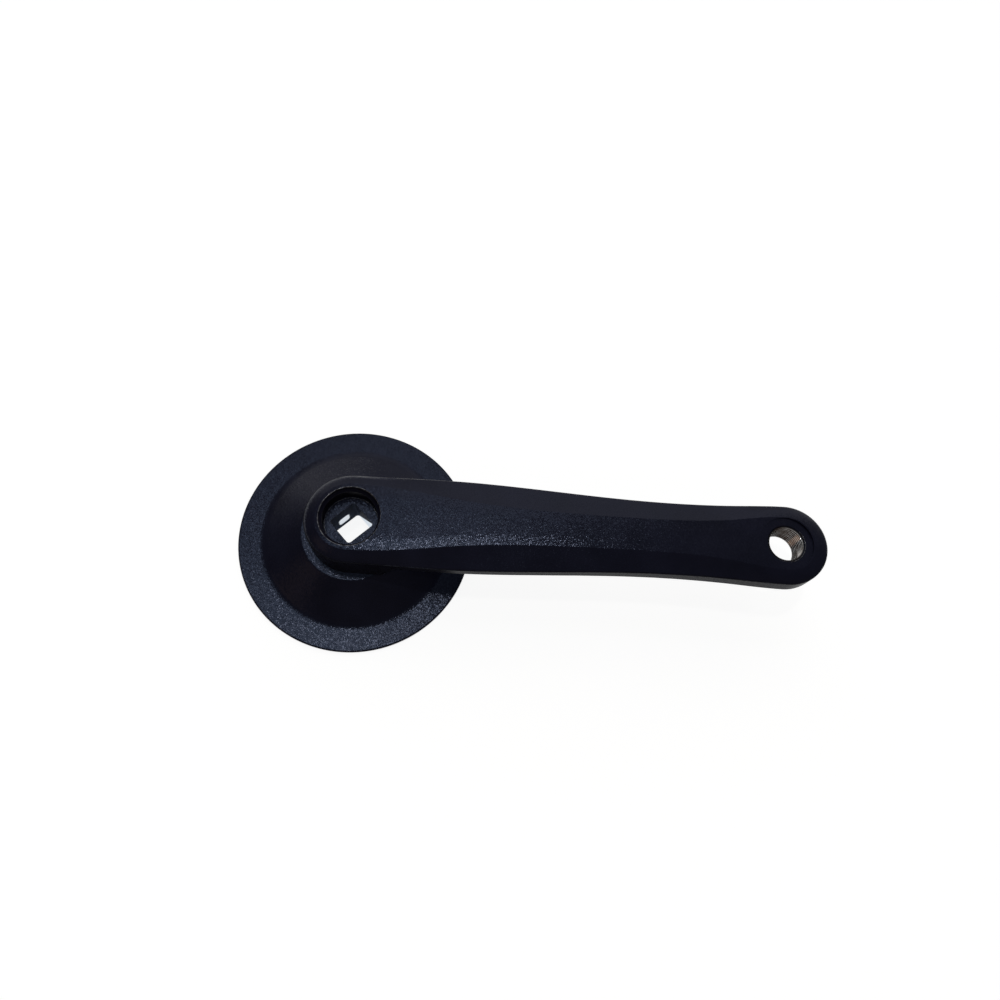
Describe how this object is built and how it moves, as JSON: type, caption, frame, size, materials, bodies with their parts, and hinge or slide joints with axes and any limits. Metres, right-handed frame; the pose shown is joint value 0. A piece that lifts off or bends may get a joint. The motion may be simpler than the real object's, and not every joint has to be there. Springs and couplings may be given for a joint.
{
  "type": "bicycle crank arm",
  "caption": "Black crank arm with a square taper boss, an extractor recess, a threaded pedal eye and a dished cover disc seated behind the boss.",
  "frame": {"origin": "on the spindle axis, in the inboard face of the boss's spigot, where the spindle's square enters", "axes": "+Z outboard along the spindle axis, +X along the arm from the spindle axis to the pedal axis, +Y across the arm"},
  "size_m": [0.2347, 0.0962, 0.0358],
  "materials": {
    "arm_coat": "satin black coat with fine metal flake on forged aluminium",
    "disc_coat": "satin black coat with fine metal flake"
  },
  "bodies": {
    "root": {"crank_arm": "arm_coat", "cover_disc": "disc_coat"}
  },
  "joints": []
}
